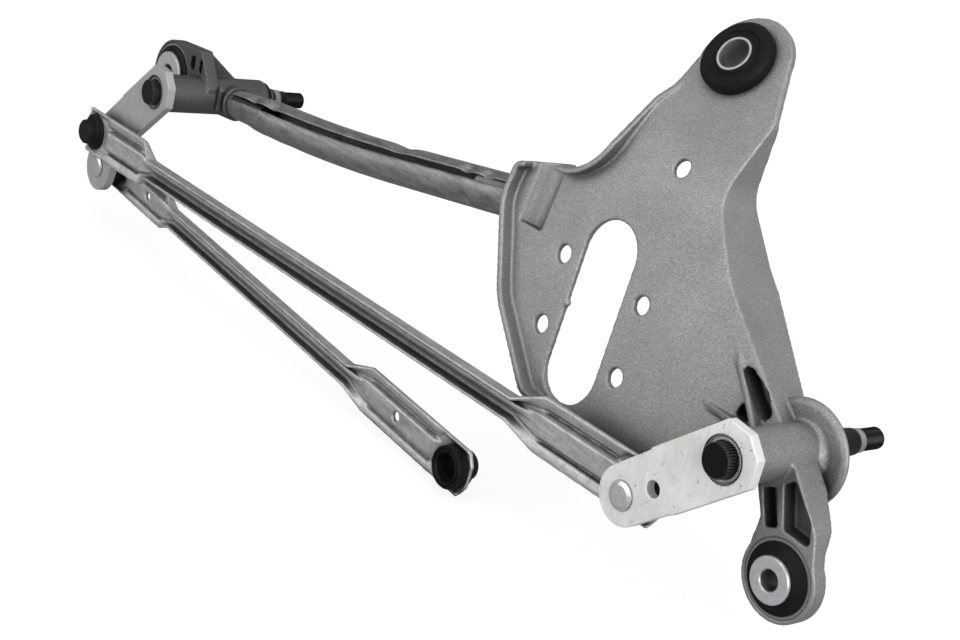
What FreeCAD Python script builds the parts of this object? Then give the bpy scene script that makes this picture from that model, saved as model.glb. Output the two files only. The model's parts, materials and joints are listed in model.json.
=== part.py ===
import FreeCAD, Part
import math
import os

# Windscreen wiper linkage: two cast brackets joined by a rolled tube carry the two wiper spindles.
# A pressed channel link joins the two cranks, and a shorter one runs to the motor (not fitted).
# While modelling, Y = 0 is the front face of the driver crank and the driver spindle lies on the Y axis.
# X runs along the linkage, the passenger spindle being at minus X, and Z is up.
# At the end every piece moves so that the origin is the middle of the lower ear, which holds the part.

V = FreeCAD.Vector
RUN = 0.03          # radial clearance of a running fit
SEAT = 0.02         # clearance between pieces that are pressed together
FACE_GAP = 0.25     # gap between faces that slide past each other

# Spindles and cranks
PIVOT_SPAN = 479.5          # distance between the two spindles
CRANK_RADIUS = 59.5         # spindle to the long link's ball, the same on both cranks
CRANK_ANGLE = 222.0         # direction of both cranks at rest, from +X towards +Z
CRANK_T = 5.0
CRANK_W = 29.0
CRANK_TAIL = 17.0           # crank behind the spindle
CRANK_END_R = 13.5
GAUGE_HOLE_R = 3.8
GAUGE_HOLE_AT = 40.8        # hole in the driver crank, from the spindle
GAUGE_HOLE_TURN = 2.7
MOTOR_PIN_RADIUS = 84.5     # passenger spindle to the motor link's ball
MOTOR_PIN_ANGLE = 230.8
MOTOR_LOBE_R = 15.0

SPINDLE_R = 6.0
KNURL_R = 7.5               # knurled end that the crank is pressed on
KNURL_PROUD = 4.5
COIN_R = 9.2                # coined ring round the spindle in the crank's face
COIN_DEPTH = 0.7
CONE_R0 = 6.9               # knurled cone for the wiper arm
CONE_R1 = 5.9
THREAD_R = 5.0              # M10
THREAD_L = 13.0
THREAD_CHAMFER = 0.8
NECK_R = 5.4
NECK_L = 5.0
THREAD_START = 88.0         # on the driver spindle
CONE_L = 13.0
PASSENGER_EXTRA = 4.5       # the passenger spindle is this much longer

# Spindle housings
BOSS_FRONT = 6.5
BOSS_BACK = 58.0
FAR_BOSS_BACK = 75.0
BOSS_R = 11.4
BUSH_R = 8.0
BUSH_L = 15.0
BUSH_SET_IN = 1.0
COLLAR_R = 23.4             # flange of the driver bracket's housing
COLLAR_T = 3.5
COLLAR_BACK = 52.5
COLLAR_BEVEL = 2.2
COLLAR_DROP = 2.0
SEAL_T = 2.5
CLIP_T = 1.2
CLIP_R = 9.0
GROOVE_R = 5.2

# Ball joints
BALL_R = 7.0
BALL_STAND = 8.5            # ball centre from the crank's face
STUD_R = 4.0
RIVET_R = 6.5
RIVET_H = 1.6
CUP_R = 8.7
CUP_FIT = 0.05
CUP_OPEN = 2.5              # open side of the cup, in front of the ball's centre
PLATE_OFF = 1.0             # middle of the link's plate, behind the ball's centre
CUP_LIP_R = 10.8
CUP_LIP_T = 1.8
CAP_R = 7.4
CAP_END = 9.8
DUST_R = 10.8
DUST_T = 3.6
DUST_BORE = 7.2

# Links, pressed from strip
LINK_T = 2.0
LINK_NOSE = 11.2            # end of a link beyond its ball
LINK_CORNER = 6.8           # start of the slanted corners there
LINK_LIP = 3.4              # height of the rim round the wide ends
LINK_PAD_W = 13.0           # raised pad along the wide ends
LINK_PAD_H = 2.0
LINK_SPLAY = 3.6            # slope of the rims there, towards the middle
LINK_BEND = 1.4
LINK_W = 12.2
LINK_H = 8.0
LINK_END_W = 28.0
LINK_NEAR_FLAT = 66.0       # wide end of the long link, from the driver ball
LINK_NEAR_FLARE = 17.0
LINK_FAR_FLAT = 58.0
LINK_FAR_FLARE = 13.0
MOTOR_LINK_L = 372.5
MOTOR_LINK_TILT = 3.5       # the free end hangs a little low
MOTOR_LINK_W = 12.4
MOTOR_LINK_H = 7.0
MOTOR_END_W = 26.0
MOTOR_NEAR_FLAT = 66.0      # wide end of the motor link, from the crank's ball
MOTOR_NEAR_FLARE = 14.0
MOTOR_FREE_FLAT = 77.0
MOTOR_FREE_FLARE = 17.0
MOTOR_LINK_HOLE_R = 2.6
MOTOR_NEAR_HOLE = 47.0
MOTOR_FREE_HOLE = 49.0

# Driver bracket, a cast plate that leans back towards the top
PLATE_T = 3.2
PLATE_Y = 38.0              # front of the plate at the height of the spindle
LEAN_LOW = 11.0
LEAN_HIGH = 30.0
BEND_LOW = 62.0
BEND_HIGH = 98.0
RIM_T = 3.0
RIM_FRONT = 7.0             # rim that stands forward at the motor side
RIM_TAPER = (80.0, 117.0)   # heights between which that rim dies out
WALL_T = 3.4
WALL_BACK = 77.0            # wall that stands back along the spindle side
SLOT_TOP = (-129.0, 34.5)
SLOT_BOTTOM = (-123.8, -20.5)
SLOT_R = 16.3
MOTOR_HOLES = ((-155.5, 24.8), (-151.8, -9.3), (-99.7, 22.0), (-97.2, -12.2))
MOTOR_HOLE_R = 4.4
UPPER_HOLE = (-111.2, 83.4)
GROOVE_X = -183.5           # half-round pocket in the plate over the tube's socket
GROOVE_TOP = 64.0
GROOVE_BOTTOM = 28.5
GROOVE_W = 16.5
GROOVE_DEPTH = 6.0
RIM_GAP = (-196.0, -176.0)  # the rim is open over that pocket
BEAD = (-142.8, 5.4)        # casting bead on the slot's wall
BEAD_R = 2.0
PAD_T = 12.0                # thicker plate round the spindle housing
HOLLOW_DEPTH = 9.0
UPPER_EAR = (-118.8, 132.2)
UPPER_END = (-117.0, 131.5)     # round end of the plate, not quite centred on the ear's hole
UPPER_END_R = 24.6
UPPER_EAR_T = 4.0
EAR_FRONT = 30.0
EAR_T = 8.0
LOWER_EAR = (21.4, -46.6)
LOWER_EAR_R = 19.0
FAR_EAR = (-34.5, 1.5)      # from the passenger spindle
FAR_EAR_R = 22.5
ARM_BACK = 46.0             # back of the lower ear's arm at the housing
POCKET_DEPTH = 8.0

# Rubber mounts: radii of the pressed ring, rubber, flange, sleeve and bore
LOWER_MOUNT = (16.8, 15.4, 10.2, 7.0, 4.6)
FAR_MOUNT = (20.2, 18.8, 15.0, 9.0, 7.0)
LOWER_SLEEVE_PROUD = 5.2
FAR_SLEEVE_PROUD = 3.4
MOUNT_RUBBER_PROUD = 1.2
SLEEVE_FLANGE_T = 1.6
UPPER_RUBBER_R = 17.9
UPPER_RUBBER_PROUD = 6.2
UPPER_RUBBER_BACK = 6.0
UPPER_RUBBER_NECK = 14.0
UPPER_SLEEVE_R = 8.6
UPPER_SLEEVE_BORE_R = 7.5
UPPER_SLEEVE_PROUD = 0.5

# Tube between the brackets, rolled from sheet with an open seam
TUBE_R = 11.0
TUBE_T = 1.6
TUBE_START = (15.0, 50.0, -0.4)      # from the passenger spindle
TUBE_BEND_AT = 0.44         # place of its bend, as a share of its length
TUBE_SAG = (0.0, -5.1)      # the bend's offset in Y and Z from the straight line
TUBE_END = (-205.0, 58.0, 33.3)
TUBE_BEND_R = 1200.0
SEAM_W = 4.0
SEAM_ANGLE = 38.0           # seam's place round the tube, above the front
SPIGOT_L = 32.0
CRIMP_R = 8.6               # the tube's passenger end is drawn in
HUB_R = 10.6                # shoulder of the passenger housing that the tube butts on
CRIMP_L = 36.0
SOCKET_L = 30.0

AXIS = V(0, 1, 0)


def polar(radius, degrees):
    """Place at a radius and direction in the XZ plane."""
    return radius * math.cos(math.radians(degrees)), radius * math.sin(math.radians(degrees))


def turned(profile, centre, axis):
    """Solid of revolution: profile points are (radius, distance along the axis)."""
    wire = Part.makePolygon([V(r, 0, w) for r, w in profile + [profile[0]]])
    solid = Part.Face(wire).revolve(V(0, 0, 0), V(0, 0, 1), 360)
    solid.Placement = FreeCAD.Placement(centre, FreeCAD.Rotation(V(0, 0, 1), axis))
    return solid


def rod(radius, centre, axis, start, end):
    return Part.makeCylinder(radius, end - start, centre + axis * start, axis)


def rounded_outline(corners):
    """Face in the XZ plane with each corner (x, z, radius) rounded by an arc."""
    edges = []
    arcs = []
    count = len(corners)
    for i, (x, z, radius) in enumerate(corners):
        here = V(x, 0, z)
        before = V(corners[i - 1][0], 0, corners[i - 1][1]) - here
        after = V(corners[(i + 1) % count][0], 0, corners[(i + 1) % count][1]) - here
        before.normalize()
        after.normalize()
        half = before.getAngle(after) / 2
        reach = radius / math.tan(half)
        middle = before + after
        middle.normalize()
        arcs.append((here + before * reach,
                     here + middle * (radius / math.sin(half) - radius),
                     here + after * reach))
    for i, (start, middle, end) in enumerate(arcs):
        edges.append(Part.Arc(start, middle, end).toShape())
        edges.append(Part.LineSegment(end, arcs[(i + 1) % count][0]).toShape())
    return Part.Face(Part.Wire(edges))


def belt(x0, z0, r0, x1, z1, r1):
    """Face in the XZ plane round two circles and their outer tangents."""
    a = V(x0, 0, z0)
    b = V(x1, 0, z1)
    along = b - a
    span = along.Length
    along.normalize()
    across = V(-along.z, 0, along.x)
    lean = (r0 - r1) / span
    rise = math.sqrt(1 - lean * lean)
    up = along * lean + across * rise
    down = along * lean - across * rise
    edges = [Part.LineSegment(a + up * r0, b + up * r1).toShape(),
             Part.Arc(b + up * r1, b + along * r1, b + down * r1).toShape(),
             Part.LineSegment(b + down * r1, a + down * r0).toShape(),
             Part.Arc(a + down * r0, a - along * r0, a + up * r0).toShape()]
    return Part.Face(Part.Wire(edges))


def flat(points):
    """Face in the XZ plane with straight sides."""
    return Part.Face(Part.makePolygon([V(x, 0, z) for x, z in points + points[:1]]))


def prism(face, y0, y1):
    """Extrudes a face of the XZ plane from y0 to y1."""
    solid = face.extrude(V(0, y1 - y0, 0))
    solid.translate(V(0, y0, 0))
    return solid


def side_prism(points, x0, x1):
    """Extrudes an outline of (y, z) points from x0 to x1."""
    wire = Part.makePolygon([V(x0, y, z) for y, z in points + points[:1]])
    return Part.Face(wire).extrude(V(x1 - x0, 0, 0))


def turn_to(solid, degrees):
    """Turns a solid about the Y axis, so that +X points in a direction of the XZ plane."""
    solid.rotate(V(0, 0, 0), V(0, 1, 0), -degrees)
    return solid


def fused(first, *others):
    return first.fuse(list(others)).removeSplitter()


def export(name, *shapes):
    """Moves a node's solids to the row frame and writes them."""
    solids = [solid for shape in shapes for solid in shape.Solids]
    body = solids[0] if len(solids) == 1 else Part.makeCompound(solids)
    body.translate(V(-LOWER_EAR[0], -EAR_FRONT - EAR_T / 2, -LOWER_EAR[1]))
    body.exportStep("parts/" + name + ".step")


def clip_groove(boss_back):
    """Start of the circlip's groove, behind the seal on the housing's end."""
    return boss_back + SEAL_T + FACE_GAP


def spindle(x, boss_back, extra):
    """Knurled head, journal, clip groove, knurled cone for the arm, neck and threaded end."""
    groove = clip_groove(boss_back)
    groove_end = groove + CLIP_T + 0.1
    thread = THREAD_START + extra
    cone_end = thread - NECK_L
    cone = max(cone_end - CONE_L, groove_end + 1.5)
    profile = [(0, -KNURL_PROUD), (KNURL_R - 0.6, -KNURL_PROUD), (KNURL_R, 0.6 - KNURL_PROUD),
               (KNURL_R, CRANK_T), (SPINDLE_R, CRANK_T), (SPINDLE_R, groove), (GROOVE_R, groove),
               (GROOVE_R, groove_end), (SPINDLE_R, groove_end), (SPINDLE_R, cone - 0.5), (CONE_R0, cone),
               (CONE_R1, cone_end), (NECK_R, cone_end + 0.5), (NECK_R, thread - 1), (THREAD_R, thread),
               (THREAD_R, thread + THREAD_L - THREAD_CHAMFER),
               (THREAD_R - THREAD_CHAMFER, thread + THREAD_L), (0, thread + THREAD_L)]
    return turned(profile, V(x, 0, 0), AXIS)


def spindle_fittings(x, name, boss_back):
    """Bushes, thrust washer, seal ring and circlip of one spindle."""
    centre = V(x, 0, 0)
    journal = rod(SPINDLE_R + RUN, centre, AXIS, 0, boss_back + SEAL_T)
    starts = {"front": BOSS_FRONT + BUSH_SET_IN, "rear": boss_back - BUSH_SET_IN - BUSH_L}
    for place, start in starts.items():
        bush = rod(BUSH_R - SEAT, centre, AXIS, start, start + BUSH_L)
        export(name + "_bush_" + place, bush.cut(journal))
    washer = rod(BOSS_R - 1.5, centre, AXIS, CRANK_T + FACE_GAP, BOSS_FRONT - FACE_GAP)
    export(name + "_thrust_washer", washer.cut(journal))
    rim = BOSS_R - 1.5
    seal = [(SPINDLE_R + RUN, boss_back), (rim, boss_back), (rim, boss_back + SEAL_T - 0.8),
            (rim - 0.8, boss_back + SEAL_T), (SPINDLE_R + RUN, boss_back + SEAL_T)]
    export(name + "_seal", turned(seal, centre, AXIS))
    groove = clip_groove(boss_back) + 0.05
    clip = rod(CLIP_R, centre, AXIS, groove, groove + CLIP_T)
    mouth = Part.makeBox(1.6 * GROOVE_R, 3 * CLIP_T, CLIP_R + 2, V(x - 0.8 * GROOVE_R, groove - CLIP_T, 0))
    export(name + "_circlip", clip.cut([rod(GROOVE_R + SEAT, centre, AXIS, groove - 1, groove + 3), mouth]))


def crank_plate():
    """Crank with its spindle at the origin: chamfered tail, straight sides and a round end."""
    half = CRANK_W / 2
    middle = CRANK_RADIUS * 0.6
    tail = flat([(-CRANK_TAIL, -half * 0.38), (-CRANK_TAIL, half * 0.38), (-CRANK_TAIL * 0.52, half),
                 (middle, half), (middle, -half), (-CRANK_TAIL * 0.52, -half)])
    arm = belt(0, 0, half - 0.2, CRANK_RADIUS, 0, CRANK_END_R)
    return turn_to(fused(prism(tail, 0, CRANK_T), prism(arm, 0, CRANK_T)), CRANK_ANGLE)


def spindle_seat():
    """Hole for the knurled end with the coined ring in the crank's front face."""
    hole = rod(KNURL_R + SEAT, V(0, 0, 0), AXIS, -1, CRANK_T + 1)
    return hole.fuse(rod(COIN_R, V(0, 0, 0), AXIS, -1, COIN_DEPTH))


def crank_hole(radius, at, turn):
    x, z = polar(at, turn)
    return rod(radius, V(x, 0, z), AXIS, -1, CRANK_T + 1)


def driver_crank():
    return crank_plate().cut([spindle_seat(), crank_hole(STUD_R + SEAT, CRANK_RADIUS, CRANK_ANGLE),
                      crank_hole(GAUGE_HOLE_R, GAUGE_HOLE_AT, CRANK_ANGLE + GAUGE_HOLE_TURN)])


def passenger_crank():
    """The same crank with a lobe for the motor link's ball."""
    ball_x, ball_z = polar(CRANK_RADIUS, CRANK_ANGLE)
    pin_x, pin_z = polar(MOTOR_PIN_RADIUS, MOTOR_PIN_ANGLE)
    lobe = belt(ball_x, ball_z, CRANK_END_R, pin_x, pin_z, MOTOR_LOBE_R)
    plate = fused(crank_plate(), prism(lobe, 0, CRANK_T)).cut([spindle_seat(), crank_hole(STUD_R + SEAT, CRANK_RADIUS, CRANK_ANGLE),
                       crank_hole(STUD_R + SEAT, MOTOR_PIN_RADIUS, MOTOR_PIN_ANGLE)])
    plate.translate(V(-PIVOT_SPAN, 0, 0))
    return plate


def ball_stud(crank_face, axis):
    """Stud riveted through a crank; crank_face is the point on the face that the ball stands off."""
    neck_r = STUD_R * 0.9
    neck = BALL_STAND - math.sqrt(BALL_R ** 2 - neck_r ** 2)
    shank = turned([(0, -CRANK_T - RIVET_H), (RIVET_R * 0.7, -CRANK_T - RIVET_H),
                    (RIVET_R, -CRANK_T - RIVET_H * 0.45), (RIVET_R, -CRANK_T), (STUD_R, -CRANK_T),
                    (STUD_R, 0), (STUD_R * 1.3, 0), (STUD_R * 1.3, 0.8), (neck_r, 1.3),
                    (neck_r, neck + 1), (0, neck + 1)], crank_face, axis)
    return fused(shank, Part.makeSphere(BALL_R, crank_face + axis * BALL_STAND))


def ball_cup(centre, axis):
    """Cup round a ball: open side, groove that holds the link's plate, and closed cap."""
    plate_front = PLATE_OFF - LINK_T / 2 - SEAT
    plate_back = PLATE_OFF + LINK_T / 2 + SEAT
    lip_end = plate_back + CUP_LIP_T
    outer = [(0, -CUP_OPEN), (CUP_LIP_R, -CUP_OPEN), (CUP_LIP_R, plate_front), (CUP_R, plate_front),
             (CUP_R, plate_back), (CUP_LIP_R, plate_back), (CUP_LIP_R, lip_end - 0.6), (CUP_LIP_R - 0.6, lip_end),
             (CAP_R + 1.2, lip_end), (CAP_R, lip_end + 1.2), (CAP_R, CAP_END - 0.9), (CAP_R - 0.9, CAP_END),
             (0, CAP_END)]
    return turned(outer, centre, axis).cut(Part.makeSphere(BALL_R + CUP_FIT, centre))


def dust_seal(centre, axis):
    """Soft ring on the open side of a cup, with a groove in its face."""
    top = -CUP_OPEN
    face = top - DUST_T
    rings = [(DUST_BORE, top), (DUST_BORE, face + 0.8), (DUST_BORE + 0.4, face), (DUST_BORE + 1.1, face),
             (DUST_BORE + 1.5, face + 0.9), (DUST_R - 1.5, face + 0.9), (DUST_R - 1.1, face),
             (DUST_R - 0.4, face), (DUST_R, face + 0.6), (DUST_R, top)]
    return turned(rings, centre, axis)


def channel_section(x, width, height, pad, splay):
    """Section of a pressed channel, open to +Y, at a distance x along the link; pad lifts its middle."""
    half = width / 2
    back = -LINK_T / 2
    web = back + LINK_T
    tip = height + back
    foot = half - LINK_T - splay
    edge = half - LINK_T * 0.8
    base = min(LINK_PAD_W / 2, foot - 1.0)
    top = base * 0.78
    points = [(back + LINK_BEND, -half), (tip, -half), (tip, -edge), (web + 0.6, -foot), (web, 0.5 - foot),
              (web, -base), (web + pad, -top), (web + pad, top), (web, base), (web, foot - 0.5),
              (web + 0.6, foot), (tip, edge), (tip, half), (back + LINK_BEND, half),
              (back, half - LINK_BEND), (back, base * 0.7), (back + pad * 0.8, base * 0.5),
              (back + pad * 0.8, -base * 0.5), (back, -base * 0.7), (back, LINK_BEND - half)]
    return Part.makePolygon([V(x, y, z) for y, z in points + points[:1]])


def link_plan(length, width):
    """Plan of a link between balls at x = 0 and length, with slanted corners beyond them."""
    half = width / 2
    nose = half * 0.45
    far = length + LINK_NOSE
    return flat([(-LINK_CORNER, -half), (length + LINK_CORNER, -half), (far, -nose), (far, nose),
                 (length + LINK_CORNER, half), (-LINK_CORNER, half), (-LINK_NOSE, nose), (-LINK_NOSE, -nose)])


def pressed_link(length, width, height, end_w, flats, flares):
    """Channel from x = 0 to length, flared at both ends into a wide plate with a raised pad."""
    clear = CUP_LIP_R + 2
    start_flat, end_flat = flats
    start_flare, end_flare = flares
    narrow = (width, height, 0.02, 0.02)
    wide = (end_w, LINK_LIP, LINK_PAD_H, LINK_SPLAY)
    round_ball = (end_w, LINK_T + 1.0, 0.02, 0.02)
    stations = [(-LINK_NOSE - 1, *round_ball), (clear, *round_ball), (clear + 5, *wide), (start_flat, *wide),
                (start_flat + start_flare, *narrow), (length - end_flat - end_flare, *narrow),
                (length - end_flat, *wide), (length - clear - 5, *wide), (length - clear, *round_ball),
                (length + LINK_NOSE + 1, *round_ball)]
    body = Part.makeLoft([channel_section(*station) for station in stations], True, True)
    body = body.common(prism(link_plan(length, end_w), -height, 2 * height))
    return body.cut([rod(CUP_R + SEAT, V(x, 0, 0), AXIS, -height, 2 * height) for x in (0, length)])


def place_link(solid, start, end):
    """Puts a link's local frame in the model: x from start to end, y towards the front, z up."""
    along = (end - start).normalize()
    front = V(along.y, -along.x, 0).normalize()
    if front.y > 0:
        front = front * -1
    up = along.cross(front)
    moved = solid.copy()
    moved.Placement = FreeCAD.Placement(FreeCAD.Matrix(along.x, front.x, up.x, start.x, along.y, front.y, up.y,
                                                       start.y, along.z, front.z, up.z, start.z, 0, 0, 0, 1))
    return moved


def long_link(near_ball, far_ball):
    """Channel between the cranks; the driver cup opens to the front and the passenger cup to the back."""
    gap = far_ball - near_ball
    swing = math.atan2(-gap.y, -gap.x) + math.asin(2 * PLATE_OFF / gap.Length)
    back = V(-math.sin(swing), math.cos(swing), 0)
    if back.y < 0:
        back = back * -1
    start = near_ball + back * PLATE_OFF
    end = far_ball - back * PLATE_OFF
    link = pressed_link((end - start).Length, LINK_W, LINK_H, LINK_END_W, (LINK_NEAR_FLAT, LINK_FAR_FLAT),
                        (LINK_NEAR_FLARE, LINK_FAR_FLARE))
    return place_link(link, start, end), back


def motor_link(ball, end):
    length = (end - ball).Length
    link = pressed_link(length, MOTOR_LINK_W, MOTOR_LINK_H, MOTOR_END_W, (MOTOR_NEAR_FLAT, MOTOR_FREE_FLAT),
                        (MOTOR_NEAR_FLARE, MOTOR_FREE_FLARE))
    link = link.cut([rod(MOTOR_LINK_HOLE_R, V(x, 0, 0), AXIS, -LINK_H, LINK_H)
                     for x in (MOTOR_NEAR_HOLE, length - MOTOR_FREE_HOLE)])
    shift = AXIS * PLATE_OFF
    return place_link(link, ball + shift, end + shift)


def plate_front(z):
    """Y of the driver plate's front surface at a height z, and its lean there."""
    low = math.radians(LEAN_LOW)
    high = math.radians(LEAN_HIGH)
    bend_r = (BEND_HIGH - BEND_LOW) / (math.sin(high) - math.sin(low))
    y_low = PLATE_Y + BEND_LOW * math.tan(low)
    if z <= BEND_LOW:
        return PLATE_Y + z * math.tan(low), LEAN_LOW
    if z <= BEND_HIGH:
        lean = math.asin(math.sin(low) + (z - BEND_LOW) / bend_r)
        return y_low + bend_r * (math.cos(low) - math.cos(lean)), math.degrees(lean)
    return y_low + bend_r * (math.cos(low) - math.cos(high)) + (z - BEND_HIGH) * math.tan(high), LEAN_HIGH


def on_plate(x, z, depth=0.0):
    """Point on the plate, depth behind its front surface, and the direction out of its back."""
    y, lean = plate_front(z)
    normal = V(0, math.cos(math.radians(lean)), -math.sin(math.radians(lean)))
    return V(x, y, z) + normal * depth, normal


def sheet(depth0, depth1):
    """Slab that follows the plate's lean, from one depth behind its front surface to another."""
    left = -260.0
    heights = [-90.0, BEND_LOW, (BEND_LOW + BEND_HIGH) / 2, BEND_HIGH, 200.0]
    front = [on_plate(left, z, depth0)[0] for z in heights]
    back = [on_plate(left, z, depth1)[0] for z in heights]
    edges = [Part.LineSegment(front[0], front[1]).toShape(), Part.Arc(front[1], front[2], front[3]).toShape(),
             Part.LineSegment(front[3], front[4]).toShape(), Part.LineSegment(front[4], back[4]).toShape(),
             Part.LineSegment(back[4], back[3]).toShape(), Part.Arc(back[3], back[2], back[1]).toShape(),
             Part.LineSegment(back[1], back[0]).toShape(), Part.LineSegment(back[0], front[0]).toShape()]
    return Part.Face(Part.Wire(edges)).extrude(V(340, 0, 0))


def plate_outline():
    """Driver bracket in plan, without its ears: the motor side is at minus X, the spindle at (0, 0)."""
    return rounded_outline([(-202.5, 55.0, 5.0), (-203.5, 36.0, 25.0), (-179.5, -7.0, 40.0), (-142.0, -40.0, 12.0),
                            (-95.0, -46.0, 40.0), (-40.0, -38.0, 40.0), (-4.0, -7.0, 4.0), (-4.0, 7.4, 4.0),
                            (-59.5, 49.6, 60.0), (-83.0, 79.0, 20.0), (-81.0, 113.5, 14.0), (-91.8, 134.0, 4.0),
                            (-103.0, 148.0, 8.0), (-133.0, 146.5, 8.0), (-141.0, 130.0, 4.0), (-143.5, 113.0, 5.0),
                            (-147.5, 106.0, 6.0), (-152.5, 64.5, 26.0),
                            (-176.0, 62.0, 14.0)])


def gusset(start, end, top_y):
    """Triangular rib on the plate's front, from the spindle housing at start outwards to end."""
    run_x = end[0] - start[0]
    run_z = end[1] - start[1]
    length = math.hypot(run_x, run_z)
    foot = PLATE_Y + 14
    points = [V(0, top_y, 0), V(length, plate_front(end[1])[0], 0), V(length, foot, 0), V(0, foot, 0), V(0, top_y, 0)]
    rib = Part.Face(Part.makePolygon(points)).extrude(V(0, 0, RIM_T))
    rib.translate(V(0, 0, -RIM_T / 2))
    rib = turn_to(rib, math.degrees(math.atan2(run_z, run_x)))
    rib.translate(V(start[0], 0, start[1]))
    return rib.common(sheet(-40, PLATE_T))


def motor_side_rim(ring):
    """Rim that stands forward along the motor side and dies out below the upper ear."""
    region = flat([(-230, -60), (-128, -60), (-128, -36), (-160, 0), (-160, 60), (-140, 60), (-138, 117), (-230, 117)])
    rim = ring.common(sheet(-RIM_FRONT, PLATE_T)).common(prism(region, -60, 200))
    low, high = RIM_TAPER
    full = on_plate(0, low, -RIM_FRONT)[0]
    end = on_plate(0, high, 0)[0]
    above = side_prism([(full.y, full.z), (end.y, end.z), (end.y, end.z + 60), (full.y - 90, end.z + 60),
                        (full.y - 90, full.z)], -175, -125)
    return rim.cut(above)


def spindle_side_wall(ring):
    """Wall that stands back from the plate's edge, from the upper ear down to the spindle housing."""
    region = flat([(-100, 130), (-70, 130), (10, 30), (10, -5), (-20, -5), (-100, 60)])
    depth = side_prism([(20, -10), (COLLAR_BACK, -10), (COLLAR_BACK, 8), (62, 16), (WALL_BACK, 46),
                        (WALL_BACK, 128), (20, 128)], -120, 20)
    return ring.common(prism(region, -60, 200)).common(depth).common(sheet(0, 60))


def housing_pad(plan):
    """Thick part of the plate beside the spindle housing, with its two hollows as tools."""
    pad = flat([(-48, -10), (-50, 30), (-30, 34), (-4, 10), (-4, -10)])
    pad = prism(pad, -60, 160).common(plan).common(sheet(0, PAD_T))
    upper = rounded_outline([(-36.5, 22.0, 1.5), (-30.0, 22.5, 3.0), (-18.5, 17.0, 3.0), (-12.5, 9.5, 1.5),
                             (-15.0, 5.5, 1.2), (-25.0, 11.5, 2.0)])
    lower = rounded_outline([(-28.0, 8.8, 1.5), (-22.0, 5.6, 1.5), (-22.5, 1.2, 1.5), (-29.5, 2.0, 1.5)])
    hollows = [prism(face, -60, 160).common(sheet(-1, HOLLOW_DEPTH)) for face in (upper, lower)]
    return pad, hollows


def lower_arm():
    """Arm to the lower ear, with its three hollows as tools."""
    x, z = LOWER_EAR
    plan = rounded_outline([(-7.0, -6.0, 3.0), (4.4, -27.0, 6.0), (3.2, -42.0, 6.0), (20.0, -50.0, 2.0),
                            (39.6, -46.0, 3.0), (32.0, -20.5, 8.0), (11.0, 2.0, 4.0)])
    depth = side_prism([(EAR_FRONT, 5), (ARM_BACK, 5), (ARM_BACK, -8), (EAR_FRONT + EAR_T, -30),
                        (EAR_FRONT + EAR_T, -50), (EAR_FRONT, -55)], -20, 60)
    arm = prism(plan, EAR_FRONT, ARM_BACK).common(depth)
    left = rounded_outline([(1.0, -15.0, 1.5), (7.8, -29.8, 1.5), (13.8, -27.2, 1.5), (7.4, -12.0, 1.5)])
    right = rounded_outline([(10.4, -9.0, 1.5), (16.8, -26.4, 1.5), (31.2, -27.4, 2.0), (28.2, -17.5, 3.0),
                             (15.2, -5.0, 1.5)])
    back = rounded_outline([(4.5, -12.0, 2.0), (9.0, -24.0, 3.0), (29.0, -21.0, 3.0), (15.0, -6.0, 2.0)])
    hollows = [prism(face, EAR_FRONT - 1, EAR_FRONT + POCKET_DEPTH) for face in (left, right)]
    hollows.append(prism(back, EAR_FRONT + POCKET_DEPTH + 2.5, ARM_BACK + 1))
    return fused(arm, rod(LOWER_EAR_R, V(x, 0, z), AXIS, EAR_FRONT, EAR_FRONT + EAR_T)), hollows


def tube_socket():
    """Socket behind the plate that the tube's end is clinched on, with the web that carries it."""
    end = V(*TUBE_END)
    along = tube_directions()[1]
    spigot = rod(TUBE_R - TUBE_T - SEAT, end, along, -SPIGOT_L, 2)
    cone = Part.makeCone(TUBE_R + 1.5, TUBE_R - 3, SOCKET_L, end + along * 0.3, along)
    tip = end + along * SOCKET_L
    near = end.x + 4.0
    web = flat([(near, end.z - 5), (near, end.z + 5), (tip.x, tip.z + 4), (tip.x, tip.z - 6)])
    web = prism(web, -60, end.y + 3).common(sheet(0, 60))
    return spigot, cone, web


def plate_groove(plan):
    """Half-round pocket in the plate, and the swelling behind it."""
    radius = (GROOVE_W ** 2 / 4 + GROOVE_DEPTH ** 2) / (2 * GROOVE_DEPTH)
    top = on_plate(GROOVE_X, GROOVE_TOP, GROOVE_DEPTH - radius)[0]
    bottom = on_plate(GROOVE_X, GROOVE_BOTTOM, GROOVE_DEPTH - radius)[0]
    along = (bottom - top).normalize()
    length = (bottom - top).Length
    pocket = rod(radius, top, along, 0, length)
    left, right = RIM_GAP
    gap = Part.makeBox(right - left, 40, 20, V(left, PLATE_Y - 12, GROOVE_TOP - 10.5)).common(sheet(-20, 0))
    swelling = rod(radius + PLATE_T, top, along, -4, length + 3).common(sheet(0, 20)).common(plan)
    return [pocket, gap], swelling


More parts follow.
